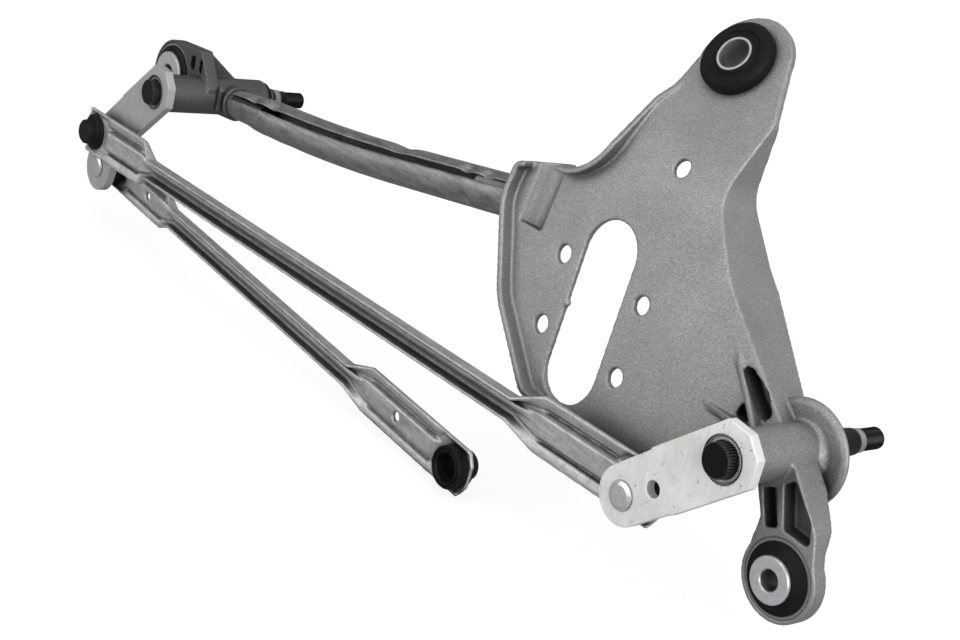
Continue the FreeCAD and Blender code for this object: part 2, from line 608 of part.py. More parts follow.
def driver_bracket():
    outline = plate_outline()
    plan = prism(outline, -60, 200)
    inner = prism(outline.makeOffset2D(-RIM_T), -60, 200)
    wall_inner = prism(outline.makeOffset2D(-WALL_T), -60, 200)
    plate = plan.common(sheet(0, PLATE_T))
    rim = motor_side_rim(plan.cut(inner))
    wall = spindle_side_wall(plan.cut(wall_inner))
    origin = V(0, 0, 0)
    boss = rod(BOSS_R, origin, AXIS, BOSS_FRONT, BOSS_BACK)
    front = COLLAR_BACK - COLLAR_T
    collar = turned([(0, front - 3), (BOSS_R, front - 3), (BOSS_R + 3, front), (COLLAR_R - COLLAR_BEVEL, front),
                     (COLLAR_R, front + COLLAR_BEVEL * 0.6), (COLLAR_R, COLLAR_BACK - 0.8), (COLLAR_R - 0.8, COLLAR_BACK), (0, COLLAR_BACK)],
                    V(0, 0, -COLLAR_DROP), AXIS)
    pad, pad_hollows = housing_pad(plan)
    arm, arm_hollows = lower_arm()
    ear_at, ear_back = on_plate(*UPPER_EAR)
    ear = rod(UPPER_END_R, on_plate(*UPPER_END)[0], ear_back, 0, UPPER_EAR_T)
    pockets, swelling = plate_groove(plan)
    ribs = [gusset((-9.0, -2.0), (-42.0, 25.5), 31), gusset((-8.0, 0.5), (-47.0, -0.5), 32)]
    for angle, reach in ((160, 150), (196, 88)):
        rib = turn_to(Part.makeBox(reach, 60, RIM_T, V(0, PLATE_Y - 10, -RIM_T / 2)), angle)
        ribs.append(rib.common(sheet(PLATE_T / 2, PLATE_T + 6)).common(inner))
    bracket = fused(plate, rim, wall, boss, collar, pad, arm, ear, swelling, *tube_socket(), *ribs)
    lower = V(LOWER_EAR[0], 0, LOWER_EAR[1])
    cuts = [prism(belt(*SLOT_TOP, SLOT_R, *SLOT_BOTTOM, SLOT_R), 0, 120),
            rod(BUSH_R, origin, AXIS, 0, BOSS_BACK + 5),
            rod(LOWER_MOUNT[0] + SEAT, lower, AXIS, EAR_FRONT - 2, EAR_FRONT + EAR_T + 12),
            rod(UPPER_RUBBER_NECK + SEAT, ear_at, ear_back, -20, 20)]
    for x, z in MOTOR_HOLES + (UPPER_HOLE,):
        at, back = on_plate(x, z)
        cuts.append(rod(MOTOR_HOLE_R, at, back, -3, 30))
    bead = Part.makeSphere(BEAD_R, on_plate(*BEAD, PLATE_T / 2)[0])
    return fused(bracket.cut(cuts + pockets + pad_hollows + arm_hollows), bead)


def tube_start():
    return V(TUBE_START[0] - PIVOT_SPAN, TUBE_START[1], TUBE_START[2])


def tube_bend():
    start = tube_start()
    return start + (V(*TUBE_END) - start) * TUBE_BEND_AT + V(0, *TUBE_SAG)


def tube_directions():
    first = (tube_bend() - tube_start()).normalize()
    last = (V(*TUBE_END) - tube_bend()).normalize()
    return first, last


def tube_path():
    """Two straight runs and the arc between them, from the end of the drawn-in part."""
    bend = tube_bend()
    end = V(*TUBE_END)
    first, last = tube_directions()
    start = tube_start() + first * CRIMP_L
    half = (first * -1).getAngle(last) / 2
    reach = TUBE_BEND_R / math.tan(half)
    middle = (last - first).normalize()
    arc_start = bend - first * reach
    arc_end = bend + last * reach
    arc_middle = bend + middle * (TUBE_BEND_R / math.sin(half) - TUBE_BEND_R)
    return Part.Wire([Part.LineSegment(start, arc_start).toShape(),
                      Part.Arc(arc_start, arc_middle, arc_end).toShape(),
                      Part.LineSegment(arc_end, end).toShape()])


def tube_section(centre, radius):
    """Section of the rolled tube, square to its first run and open at the seam."""
    along = tube_directions()[0]
    front = V(0, -1, 0)
    front = (front - along * front.dot(along)).normalize()
    up = front.cross(along)
    inner = radius - TUBE_T
    open_half = math.degrees(SEAM_W / 2 / radius)

    def at(r, degrees):
        a = math.radians(degrees)
        return centre + (front * math.cos(a) + up * math.sin(a)) * r

    start = SEAM_ANGLE + open_half
    end = SEAM_ANGLE + 360 - open_half
    middle = SEAM_ANGLE + 180
    return Part.Wire([Part.Arc(at(radius, start), at(radius, middle), at(radius, end)).toShape(),
                      Part.LineSegment(at(radius, end), at(inner, end)).toShape(),
                      Part.Arc(at(inner, end), at(inner, middle), at(inner, start)).toShape(),
                      Part.LineSegment(at(inner, start), at(radius, start)).toShape()])


def frame_tube():
    """Sheet rolled to a tube whose edges leave an open seam, drawn in at the passenger end."""
    start = tube_start()
    wide = start + tube_directions()[0] * CRIMP_L
    drawn = Part.makeLoft([tube_section(start, CRIMP_R), tube_section(wide, TUBE_R)], True, True)
    run = tube_path().makePipeShell([tube_section(wide, TUBE_R)], True, False)
    return fused(run, drawn)


def far_ear():
    return FAR_EAR[0] - PIVOT_SPAN, FAR_EAR[1]


def passenger_bracket():
    """Long spindle housing with an ear, a rib on its back and the hub that carries the tube."""
    centre = V(-PIVOT_SPAN, 0, 0)
    ear_x, ear_z = far_ear()
    start = tube_start()
    along = tube_directions()[0]
    boss = turned([(0, BOSS_FRONT), (BOSS_R, BOSS_FRONT), (BOSS_R, FAR_BOSS_BACK - 1.5),
                   (BOSS_R - 1.5, FAR_BOSS_BACK), (0, FAR_BOSS_BACK)], centre, AXIS)
    ear = rod(FAR_EAR_R, V(ear_x, 0, ear_z), AXIS, EAR_FRONT, EAR_FRONT + EAR_T)
    top = ear_z + FAR_EAR_R
    web = rounded_outline([(ear_x - 2, top, 1.0), (ear_x - 2, ear_z - FAR_EAR_R + 1, 1.0), (-PIVOT_SPAN, -BOSS_R, 3.0),
                           (-PIVOT_SPAN + BOSS_R, 6.0, 3.0), (-PIVOT_SPAN - 4.5, top + 2.5, 1.5)])
    web = prism(web, EAR_FRONT, EAR_FRONT + EAR_T)
    slots = [prism(rounded_outline([(x, 12.5, 1.2), (x + width, 12.5, 1.2), (x + width, top - 3, 1.2),
                                    (x, top - 4, 1.2)]), EAR_FRONT - 1, EAR_FRONT + 5)
             for x, width in ((ear_x + FAR_EAR_R - 3.0, 5.0), (-PIVOT_SPAN - 4.5, 3.5))]
    back_rib = side_prism([(EAR_FRONT, 0), (EAR_FRONT, top + 1), (EAR_FRONT + EAR_T, top + 1),
                           (EAR_FRONT + 27, BOSS_R - 1), (EAR_FRONT + 27, 0)], -PIVOT_SPAN - 8.5, -PIVOT_SPAN - 4.2)
    hub = rod(HUB_R, start, along, BOSS_R - TUBE_START[0] - 10, -SEAT)
    spigot = rod(CRIMP_R - TUBE_T - 0.1, start, along, -4, SPIGOT_L)
    relief = rod(2.4, V(-PIVOT_SPAN + BOSS_R - 0.5, start.y - HUB_R - 0.6, 0.5), V(0, 0, 1), -7.5, 7.5)
    bracket = fused(boss, ear, web, back_rib, hub, spigot)
    return bracket.cut([rod(BUSH_R, centre, AXIS, 0, FAR_BOSS_BACK + 5), relief,
                        rod(FAR_MOUNT[0] + SEAT, V(ear_x, 0, ear_z), AXIS, EAR_FRONT - 2, EAR_FRONT + EAR_T + 12),
                        *slots])


def ring_mount(name, at, sizes, proud):
    """Rubber mount of an ear parallel to the spindles: pressed ring, rubber and flanged sleeve."""
    ring_r, rubber_r, flange_r, sleeve_r, bore_r = sizes
    centre = V(at[0], EAR_FRONT, at[1])
    ring = rod(ring_r, centre, AXIS, 0.4, EAR_T - 0.4)
    export(name + "_mount_ring", ring.cut(rod(rubber_r, centre, AXIS, -1, EAR_T + 1)))
    back = EAR_T + MOUNT_RUBBER_PROUD
    outer = rubber_r - SEAT
    inner = sleeve_r + SEAT
    front = SLEEVE_FLANGE_T - proud
    rubber = [(inner, front + SEAT), (sleeve_r + 2, front + SEAT), (outer - 2.0, -MOUNT_RUBBER_PROUD), (outer, -0.4),
              (outer, EAR_T + 0.4), (outer - 2.0, back), (sleeve_r + 2, back + 1.2), (inner, back + 1.2)]
    export(name + "_rubber", turned(rubber, centre, AXIS))
    sleeve = [(bore_r + 0.5, -proud), (flange_r - 0.5, -proud), (flange_r, 0.5 - proud), (flange_r, front),
              (sleeve_r, front), (sleeve_r, back + 1.6), (bore_r, back + 1.6), (bore_r, 0.5 - proud)]
    export(name + "_sleeve", turned(sleeve, centre, AXIS))


def upper_mount():
    """Grommet buttoned into the upper ear, with a plain thin-walled sleeve."""
    centre, axis = on_plate(*UPPER_EAR)
    front = -UPPER_RUBBER_PROUD
    back = UPPER_EAR_T + UPPER_RUBBER_BACK
    bore = UPPER_SLEEVE_R + SEAT
    edge = UPPER_RUBBER_R
    rubber = [(bore, front), (bore + 1.2, front), (bore + 1.8, front + 0.8), (bore + 3.4, front + 0.8),
              (bore + 4.0, front), (edge - 1.8, front), (edge, front + 1.8), (edge, -1.0), (edge - 1.2, -SEAT),
              (UPPER_RUBBER_NECK, -SEAT), (UPPER_RUBBER_NECK, UPPER_EAR_T + SEAT), (edge - 0.8, UPPER_EAR_T + SEAT),
              (edge - 1.4, back - 1.2), (edge - 3, back), (bore, back)]
    export("upper_rubber", turned(rubber, centre, axis))
    start = front - UPPER_SLEEVE_PROUD
    sleeve = [(UPPER_SLEEVE_BORE_R, start), (UPPER_SLEEVE_R, start), (UPPER_SLEEVE_R, back + 0.4),
              (UPPER_SLEEVE_BORE_R, back + 0.4)]
    export("upper_sleeve", turned(sleeve, centre, axis))


os.makedirs("parts", exist_ok=True)
export("driver_bracket", driver_bracket())
export("passenger_bracket", passenger_bracket())
export("frame_tube", frame_tube())

for side, pivot_x, housing_back, longer in (("driver", 0.0, BOSS_BACK, 0.0),
                                            ("passenger", -PIVOT_SPAN, FAR_BOSS_BACK, PASSENGER_EXTRA)):
    export(side + "_spindle", spindle(pivot_x, housing_back, longer))
    spindle_fittings(pivot_x, side, housing_back)

export("driver_crank", driver_crank())
export("passenger_crank", passenger_crank())

link_x, link_z = polar(CRANK_RADIUS, CRANK_ANGLE)
pin_x, pin_z = polar(MOTOR_PIN_RADIUS, MOTOR_PIN_ANGLE)
driver_face = V(link_x, CRANK_T, link_z)
passenger_face = V(link_x - PIVOT_SPAN, 0, link_z)
motor_face = V(pin_x - PIVOT_SPAN, CRANK_T, pin_z)
export("driver_ball_stud", ball_stud(driver_face, AXIS))
export("passenger_ball_stud", ball_stud(passenger_face, AXIS * -1))
export("motor_ball_stud", ball_stud(motor_face, AXIS))

driver_ball = driver_face + AXIS * BALL_STAND
passenger_ball = passenger_face - AXIS * BALL_STAND
motor_ball = motor_face + AXIS * BALL_STAND
tilt = math.radians(MOTOR_LINK_TILT)
motor_link_end = motor_ball + V(math.cos(tilt), 0, -math.sin(tilt)) * MOTOR_LINK_L

link, link_back = long_link(driver_ball, passenger_ball)
export("long_link", link)
export("long_link_driver_cup", ball_cup(driver_ball, link_back))
export("long_link_driver_seal", dust_seal(driver_ball, link_back))
export("long_link_passenger_cup", ball_cup(passenger_ball, link_back * -1))
export("long_link_passenger_seal", dust_seal(passenger_ball, link_back * -1))

export("motor_link", motor_link(motor_ball, motor_link_end))
export("motor_link_crank_cup", ball_cup(motor_ball, AXIS))
export("motor_link_crank_seal", dust_seal(motor_ball, AXIS))
export("motor_link_free_cup", ball_cup(motor_link_end, AXIS))
export("motor_link_free_seal", dust_seal(motor_link_end, AXIS))

ring_mount("lower", LOWER_EAR, LOWER_MOUNT, LOWER_SLEEVE_PROUD)
ring_mount("passenger", far_ear(), FAR_MOUNT, FAR_SLEEVE_PROUD)
upper_mount()
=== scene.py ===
import json
import math

import bmesh
import bpy
from mathutils import Matrix, Vector

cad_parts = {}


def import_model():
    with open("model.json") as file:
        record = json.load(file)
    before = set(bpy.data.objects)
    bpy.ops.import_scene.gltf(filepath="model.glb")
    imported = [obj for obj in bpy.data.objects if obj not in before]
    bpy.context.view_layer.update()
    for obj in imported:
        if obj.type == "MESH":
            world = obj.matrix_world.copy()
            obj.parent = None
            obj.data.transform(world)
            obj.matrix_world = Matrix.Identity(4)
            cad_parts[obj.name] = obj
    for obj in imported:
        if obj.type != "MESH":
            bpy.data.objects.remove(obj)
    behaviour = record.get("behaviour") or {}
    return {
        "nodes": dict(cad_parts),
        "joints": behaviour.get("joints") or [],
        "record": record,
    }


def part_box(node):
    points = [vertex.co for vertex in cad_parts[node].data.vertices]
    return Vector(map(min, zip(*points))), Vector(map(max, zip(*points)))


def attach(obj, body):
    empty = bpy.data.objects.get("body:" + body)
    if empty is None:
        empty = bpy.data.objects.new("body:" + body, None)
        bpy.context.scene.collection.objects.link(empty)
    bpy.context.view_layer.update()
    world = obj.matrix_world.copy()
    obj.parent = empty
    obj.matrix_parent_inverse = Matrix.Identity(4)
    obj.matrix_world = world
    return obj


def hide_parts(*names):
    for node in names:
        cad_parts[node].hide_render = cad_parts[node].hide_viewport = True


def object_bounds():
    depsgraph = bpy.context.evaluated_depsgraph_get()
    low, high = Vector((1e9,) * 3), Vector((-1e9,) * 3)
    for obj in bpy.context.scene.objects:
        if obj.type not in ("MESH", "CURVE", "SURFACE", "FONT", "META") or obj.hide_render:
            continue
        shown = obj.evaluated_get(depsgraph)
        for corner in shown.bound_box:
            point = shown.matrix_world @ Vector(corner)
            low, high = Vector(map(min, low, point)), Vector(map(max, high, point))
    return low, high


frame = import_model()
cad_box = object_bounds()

# Looks of the wiper linkage. Sizes and places are in millimetres where nothing else is said, and
# places start where the driver spindle's axis meets the front of its crank. Y runs along the spindles,
# away from the camera.

MM = 0.001

# Spindles, as in the solids
KNURL_R = 7.5
KNURL_PROUD = 4.5
KNURL_DEPTH = 0.45
SPINDLE_R = 6.0
CONE_R0 = 6.9
CONE_R1 = 5.9
CONE_DEPTH0 = 0.3
CONE_DEPTH1 = 0.4
NECK_R = 5.4
NECK_L = 5.0
CONE_L = 13.0
THREAD_R = 5.0
THREAD_L = 13.0
THREAD_PITCH = 1.25
THREAD_DEPTH = 0.55
THREAD_RINGS = 8                # rings of the mesh to a pitch
ROUND_STEPS = 144               # steps of the mesh round a spindle, four to a tooth
TURNED_SHARP = 32.0             # degrees from which an edge of a spindle stays sharp

# Edges of a spindle, along the axis and across it: the head's chamfer and the flat inside it, the
# edges before and after the cone, the undercut before the thread, and the tip after it
HEAD_CHAMFER = 0.5
HEAD_DROP = 0.7
HEAD_FLAT = 0.4
CONE_RISE = 0.6
CONE_FALL = 0.3
UNDERCUT_START = 1.0
UNDERCUT_END = 0.4
UNDERCUT_DROP = 0.3
TIP_L = 0.8
TIP_CHAMFER = 0.2
TIP_R = 4.0
TIP_DROP = 0.3

# Sink round a spindle's head in its crank: how far its cutter stands out and flares in front of the
# face, its ring, the groove round that ring with its slopes, and the teeth that the knurl left, from
# the ring down to the floor, with their play round the knurl
SINK_R = 10.4
SINK_OVER = 1.0
SINK_FLARE = 0.2
SINK_DEPTH = 0.15
SINK_GROOVE = 1.0
SINK_GROOVE_W = 0.7
SINK_OUTER_SLOPE = 0.15
SINK_INNER_SLOPE = 0.2
SINK_TEETH_PLAY = 1.2
SINK_TEETH_DEPTH = 0.8
SINK_FLOOR_DEPTH = 1.4
SINK_FLOOR_PLAY = 0.4
SINK_FLOOR_TEETH = 0.5
SINK_FLOOR_EDGE = 1.5

# Rounding of the cranks' edges, in degrees the angle from which an edge stays sharp, and the angle
# up to which two faces count as one
CRANK_ROUND = 0.5
SHARP_ANGLE = 35.0
FLAT_ANGLE = 0.5

# Voxels of the remeshed castings, links and tube
FINE_VOXEL = 0.55
TUBE_VOXEL = 0.6

# Distance under which two points of a mesh are welded, in metres
WELD = 1e-6

# Links: the length of their wide ends from the balls, and how much further forward the long link's
# ball lies on the passenger crank than on the driver crank
LONG_LINK_WIDE = (70, 60)
MOTOR_LINK_WIDE = (70, 80)
LONG_LINK_STEP = 22.0

# Raised bead along the floor of a link: half width, place above the middle, height, run of its ends,
# where its flank ends in half widths and how steep the flank is
BEAD_HALF = 1.5
BEAD_UP = 1.4
BEAD_RISE = 2.2
BEAD_RUN = 14.0
BEAD_FOOT = 1.3
BEAD_STEEP = 2.5

# Groove beside the pad of a wide end: place from the middle, half width and depth, its start from
# the ball, its end before the wide end's, and the run of its ends
PAD_GROOVE_AT = 7.4
PAD_GROOVE_HALF = 1.1
PAD_GROOVE_DEPTH = 1.3
PAD_START = 17
PAD_SHORT = 4
PAD_RUN = 3

# Pinches of the tube over the spigots inside it, and the dent that bending left: place, reach, depth;
# how fast a dent dies out, and the reaches after which it's left out
TUBE_DENTS = [((-441.0, 46.6, 10.4), 5.0, 2.2), ((-420.5, 45.6, 12.8), 5.5, 2.4),
              ((-447.0, 42.1, -4.2), 7.0, 1.8), ((-424.0, 41.4, -3.2), 7.0, 1.8),
              ((-397.6, 42.5, -1.4), 7.0, 1.0), ((-303.5, 52.5, 26.5), 9.0, 2.4),
              ((-246.0, 51.4, 36.2), 4.2, 2.6), ((-229.2, 51.9, 39.0), 4.2, 2.6),
              ((-240.4, 48.4, 20.6), 4.6, 2.4), ((-222.1, 49.0, 23.6), 4.6, 2.4)]
DENT_FALL = 1.4
DENT_END = 2.5

# Middle line of the tube
TUBE_LINE = ((-464.0, 50.0, 0.0), (-205.0, 58.0, 33.3))

# Painted shade for light that falls off towards the passenger end: where along the row frame's X it
# starts and is full, in metres
FALLOFF_FROM = -0.3
FALLOFF_FULL = -0.45

# Ground neck of a spindle, between cone and thread: its edges along the row frame's Y, as shares of
# a reach in metres
GROUND_REACH = 0.1
GROUND_NECK = (0.484, 0.49, 0.522, 0.53)

# Soft boxes of the studio: direction, where their edge starts and ends as a cosine, brightness
SOFT_BOXES = [((-0.3, -0.95, 0.05), 0.7, 0.95, 2.5), ((0.95, -0.25, 0.2), 0.72, 1.0, 4.6),
              ((0.3, 0.3, 0.9), 0.05, 1.0, 0.34), ((-0.2, 0.95, 0.15), 0.45, 1.0, 0.35)]
ROOM_LEVEL = 0.05
LIGHT_TINT = (0.97, 0.98, 1.0, 1)

# Floor: its own glow, half its side, and the gap under the part's lowest point, in metres
FLOOR_GLOW = 0.78
FLOOR_HALF = 4.0
FLOOR_GAP = 0.002

# Lamps: place and target in the row frame and size, in metres, and power; direction, strength and
# apparent width in degrees
KEY_LAMP = ((-0.12, -0.32, 0.85), (-0.08, 0.02, 0.05), 0.5, 1.6)
TOP_LAMP = ((0.15, -0.25, -1.0), 0.15, 50)

# Camera fitted to the photograph: place, and azimuth, elevation and roll in degrees
CAMERA_PLACE = (357.0, -481.5, 236.3)
CAMERA_AZIMUTH = 46.74
CAMERA_ELEVATION = 19.12
CAMERA_ROLL = 14.18
LENS = 60.45
SENSOR = 36.0


# Places from the frame, in metres

NAMED = {entry["name"]: Vector(entry["pos_m"]) for entry in frame["joints"] + frame["record"]["mounts"]}


def crank_front(side):
    """Where a spindle's axis meets the front of its crank."""
    axis = NAMED[side + "_swing"]
    return Vector((axis.x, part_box(side + "_crank")[0].y, axis.z))


START = crank_front("driver")
SPAN = NAMED["passenger_swing"] - NAMED["driver_swing"]
DRIVER_BALL = NAMED["long_link_swing"]
PASSENGER_BALL = DRIVER_BALL + SPAN - Vector((0, LONG_LINK_STEP * MM, 0))
MOTOR_LINK_BALL = NAMED["motor_link_swing"]
FREE_SOCKET = NAMED["motor_ball_socket"]


def at(x, y, z):
    """Place in the row frame, in metres."""
    return START + Vector((x, y, z)) * MM


# Materials

class Nodes:
    """Small helper that adds nodes to one material and links them."""

    def __init__(self, name):
        self.material = bpy.data.materials.new(name)
        self.material.use_nodes = True
        self.tree = self.material.node_tree
        self.shader = self.tree.nodes["Principled BSDF"]
        self.place = self.tree.nodes.new("ShaderNodeTexCoord").outputs["Object"]

    def add(self, kind, **values):
        """Adds a node; each value is set on the node or on its input of that name."""
        node = self.tree.nodes.new("ShaderNode" + kind)
        for key, value in values.items():
            if hasattr(node, key):
                setattr(node, key, value)
            else:
                node.inputs[key.replace("_", " ")].default_value = value
        return node

    def link(self, source, target):
        self.tree.links.new(source, target)

    def grain(self, scale, detail, rough, stretch=None):
        """Noise over the surface, in object space; stretch squeezes it along an axis."""
        node = self.add("TexNoise", Scale=scale, Detail=detail, Roughness=rough)
        source = self.place
        if stretch:
            mapping = self.add("Mapping")
            mapping.inputs["Scale"].default_value = stretch
            self.link(source, mapping.inputs["Vector"])
            source = mapping.outputs["Vector"]
        self.link(source, node.inputs["Vector"])
        return node.outputs["Fac"]

    def ramp(self, source, *stops):
        """Colour ramp; each stop is (position, grey or colour)."""
        node = self.add("ValToRGB")
        elements = node.color_ramp.elements
        while len(elements) < len(stops):
            elements.new(0.5)
        for element, (position, colour) in zip(elements, stops):
            element.position = position
            element.color = (colour, colour, colour, 1) if isinstance(colour, float) else (*colour, 1)
        self.link(source, node.inputs["Fac"])
        return node.outputs["Color"]

    def blend(self, factor, a, b, mode="MIX"):
        """Mix of two colours; each of the three may be a value or a socket."""
        node = self.add("Mix", data_type="RGBA", blend_type=mode)
        for index, value in ((0, factor), (6, a), (7, b)):
            if isinstance(value, bpy.types.NodeSocket):
                self.link(value, node.inputs[index])
            else:
                node.inputs[index].default_value = value
        return node.outputs[2]

    def bump(self, source, strength, distance, after):
        """Bump of a height over another normal."""
        node = self.add("Bump", Strength=strength, Distance=distance)
        self.link(source, node.inputs["Height"])
        self.link(after, node.inputs["Normal"])
        return node.outputs["Normal"]

    def edges(self, radius):
        """Softens sharp edges in the shading."""
        return self.add("Bevel", samples=4, Radius=radius).outputs["Normal"]

    def painted_shade(self, colour, reach, dark, closed=0.25):
        """Darkens a colour in corners and hollows by how closed they are: painted shade."""
        open_share = self.add("AmbientOcclusion", samples=6, Distance=reach).outputs["AO"]
        return self.blend(1.0, colour, self.ramp(open_share, (closed, dark), (0.85, 1.0)), "MULTIPLY")

    def edge_wear_and_highlight(self, colour, bright, start, end):
        """Brightens a colour on outer edges and crests: partly wear where handling rubs it, partly a
        painted highlight.
        """
        edge = self.ramp(self.add("NewGeometry").outputs["Pointiness"], (start, 0.0), (end, 1.0))
        return self.blend(edge, colour, (bright, bright, bright, 1))

    def share(self, axis, low, high):
        """Place along an axis as a share of the way from low to high, in metres."""
        split = self.add("SeparateXYZ")
        self.link(self.place, split.inputs[0])
        node = self.add("MapRange")
        node.inputs["From Min"].default_value = low
        node.inputs["From Max"].default_value = high
        self.link(split.outputs[axis], node.inputs["Value"])
        return node.outputs["Result"]

    def painted_falloff(self, colour, dark):
        """Darkens a colour towards the passenger end: painted shade for light falling off there."""
        tone = self.ramp(self.share("X", FALLOFF_FULL, FALLOFF_FROM), (0.0, dark), (1.0, 1.0))
        return self.blend(1.0, colour, tone, "MULTIPLY")

    def finish(self, colour, rough, normal, **values):
        """Links the colour, and roughness and normal where they're given, and sets plain values."""
        self.link(colour, self.shader.inputs["Base Color"])
        if rough:
            self.link(rough, self.shader.inputs["Roughness"])
        if normal:
            self.link(normal, self.shader.inputs["Normal"])
        for key, value in values.items():
            self.shader.inputs[key.replace("_", " ")].default_value = value
        return self.material


def cast_aluminium():
    """Sand-cast skin: fine speckle over slow grey clouds, and a grainy bump."""
    n = Nodes("cast_aluminium")
    speckle = n.ramp(n.grain(1500, 2.0, 0.7), (0.32, 0.25), (0.5, 0.34), (0.7, 0.46))
    clouds = n.ramp(n.grain(38, 4.0, 0.6), (0.3, 0.86), (0.7, 1.0))
    colour = n.blend(1.0, speckle, clouds, "MULTIPLY")
    # Painted shade in corners and hollows, then brighter edges, partly wear and partly painted highlight
    colour = n.edge_wear_and_highlight(n.painted_shade(colour, 0.045, 0.16), 0.42, 0.57, 0.66)
    # Painted shade for light falling off towards the passenger end
    colour = n.painted_falloff(colour, 0.35)
    rough = n.ramp(n.grain(700, 2.0, 0.6), (0.3, 0.42), (0.7, 0.62))
    normal = n.bump(n.grain(1300, 3.0, 0.7), 0.5, 0.00035, n.edges(0.0006))
    return n.finish(colour, rough, normal, Metallic=0.75)


def zinc_plate():
    """Bright zinc plating with fine brushing, small dark specks and faint warm stains."""
    n = Nodes("zinc_steel")
    brushing = n.ramp(n.grain(900, 3.0, 0.7, (1.0, 1.0, 0.12)), (0.3, 0.84), (0.7, 0.95))
    stains = n.ramp(n.grain(60, 5.0, 0.65), (0.4, (0.9, 0.89, 0.85)), (0.6, (1.0, 1.0, 1.0)))
    specks = n.ramp(n.grain(520, 2.0, 0.6), (0.27, 0.45), (0.33, 1.0))
    colour = n.blend(1.0, brushing, stains, "MULTIPLY")
    colour = n.blend(1.0, colour, specks, "MULTIPLY")
    # Painted shade in the sink, the gauge hole and corners
    colour = n.painted_shade(n.painted_shade(colour, 0.0022, 0.2), 0.01, 0.2)
    # Painted shade for light falling off towards the passenger end
    colour = n.painted_falloff(colour, 0.5)
    rough = n.ramp(n.grain(90, 4.0, 0.6), (0.3, 0.46), (0.7, 0.6))
    normal = n.bump(n.grain(700, 4.0, 0.6, (1.0, 1.0, 0.3)), 0.14, 0.00015, n.edges(0.0005))
    return n.finish(colour, rough, normal, Metallic=0.45)


def pressed_steel(name, low, high, reach, dark):
    """Duller zinc on strip and tube: streaks along the length, small spots, painted shade in channels and
    hollows, and bright edges, partly wear and partly painted highlight.
    """
    n = Nodes(name)
    streaks = n.ramp(n.grain(420, 4.0, 0.65, (0.12, 1.0, 1.0)), (0.3, low), (0.7, high))
    spots = n.ramp(n.grain(330, 3.0, 0.7), (0.36, 0.8), (0.5, 1.0))
    colour = n.blend(1.0, streaks, spots, "MULTIPLY")
    # Painted shade in the channel and hollows, deepest in the links' channel
    colour = n.painted_shade(n.painted_shade(colour, reach, dark, 0.5), 0.0025, 0.5, 0.5)
    # Brighter edges, partly wear and partly painted highlight
    colour = n.edge_wear_and_highlight(colour, 0.75, 0.53, 0.6)
    rough = n.ramp(n.grain(160, 4.0, 0.6), (0.3, 0.42), (0.7, 0.56))
    normal = n.bump(n.grain(520, 4.0, 0.6), 0.2, 0.00025, n.edges(0.0005))
    return n.finish(colour, rough, normal, Metallic=0.75)


def turned_steel(name, grey, roughness):
    """Machined steel with fine turning marks."""
    n = Nodes(name)
    tone = n.ramp(n.grain(600, 3.0, 0.6), (0.3, grey * 0.82), (0.7, grey))
    # Painted shade in bores and hollows
    tone = n.painted_shade(tone, 0.02, 0.06)
    normal = n.bump(n.grain(900, 2.0, 0.6), 0.12, 0.0001, n.edges(0.0004))
    return n.finish(tone, None, normal, Metallic=0.65, Roughness=roughness)


def black_steel():
    """Phosphated steel, grey on edges and crests, partly rubbed and partly a painted highlight, and
    ground bright on the spindle's neck.
    """
    n = Nodes("black_steel")
    colour = n.ramp(n.grain(500, 3.0, 0.6), (0.3, 0.006), (0.75, 0.014))
    # Grey on edges and crests, partly rubbed and partly a painted highlight
    colour = n.edge_wear_and_highlight(colour, 0.16, 0.55, 0.66)
    ground = n.ramp(n.share("Y", 0.0, GROUND_REACH), *zip(GROUND_NECK, (0.0, 1.0, 1.0, 0.0)))
    colour = n.blend(ground, colour, (0.4, 0.4, 0.4, 1))
    normal = n.bump(n.grain(900, 3.0, 0.6), 0.2, 0.0001, n.edges(0.0002))
    return n.finish(colour, None, normal, Metallic=0.7, Roughness=0.34)


def bronze():
    """Sintered bronze with a fine mottle."""
    n = Nodes("bronze")
    colour = n.ramp(n.grain(800, 2.0, 0.6), (0.3, (0.33, 0.22, 0.11)), (0.7, (0.5, 0.35, 0.19)))
    return n.finish(colour, None, n.edges(0.0003), Metallic=0.9, Roughness=0.45)


def rubber(name, grey, roughness):
    """Moulded black rubber with a fine matt skin and a trace of bloom."""
    n = Nodes(name)
    colour = n.ramp(n.grain(240, 5.0, 0.65), (0.35, grey), (0.75, grey * 2.2))
    rough = n.ramp(n.grain(120, 4.0, 0.6), (0.3, roughness), (0.7, roughness + 0.16))
    normal = n.bump(n.grain(1000, 3.0, 0.6), 0.25, 0.00015, n.edges(0.0006))
    return n.finish(colour, rough, normal, Specular_IOR_Level=0.18)


MATERIALS = {
    "cast_aluminium": cast_aluminium(),
    "zinc_steel": zinc_plate(),
    "link_steel": pressed_steel("link_steel", 0.4, 0.64, 0.012, 0.08),
    "tube_steel": pressed_steel("tube_steel", 0.21, 0.42, 0.01, 0.3),
    "bright_steel": turned_steel("bright_steel", 0.72, 0.3),
    "ring_steel": turned_steel("ring_steel", 0.34, 0.42),
    "black_steel": black_steel(),
    "bronze": bronze(),
    "rubber": rubber("rubber", 0.003, 0.55),
    "seal_rubber": rubber("seal_rubber", 0.003, 0.42),
    "black_plastic": rubber("black_plastic", 0.004, 0.46),
}
SLOT_OF = {entry["node"]: entry["material_slot"] for entry in frame["record"]["subparts"]}
BODY_OF = {node: body for body, nodes in frame["record"]["behaviour"]["bodies"].items() for node in nodes}


def dress(piece, slot):
    """Gives a piece the material of a slot."""
    piece.data.materials.clear()
    piece.data.materials.append(MATERIALS[slot])
    return piece


# Pieces

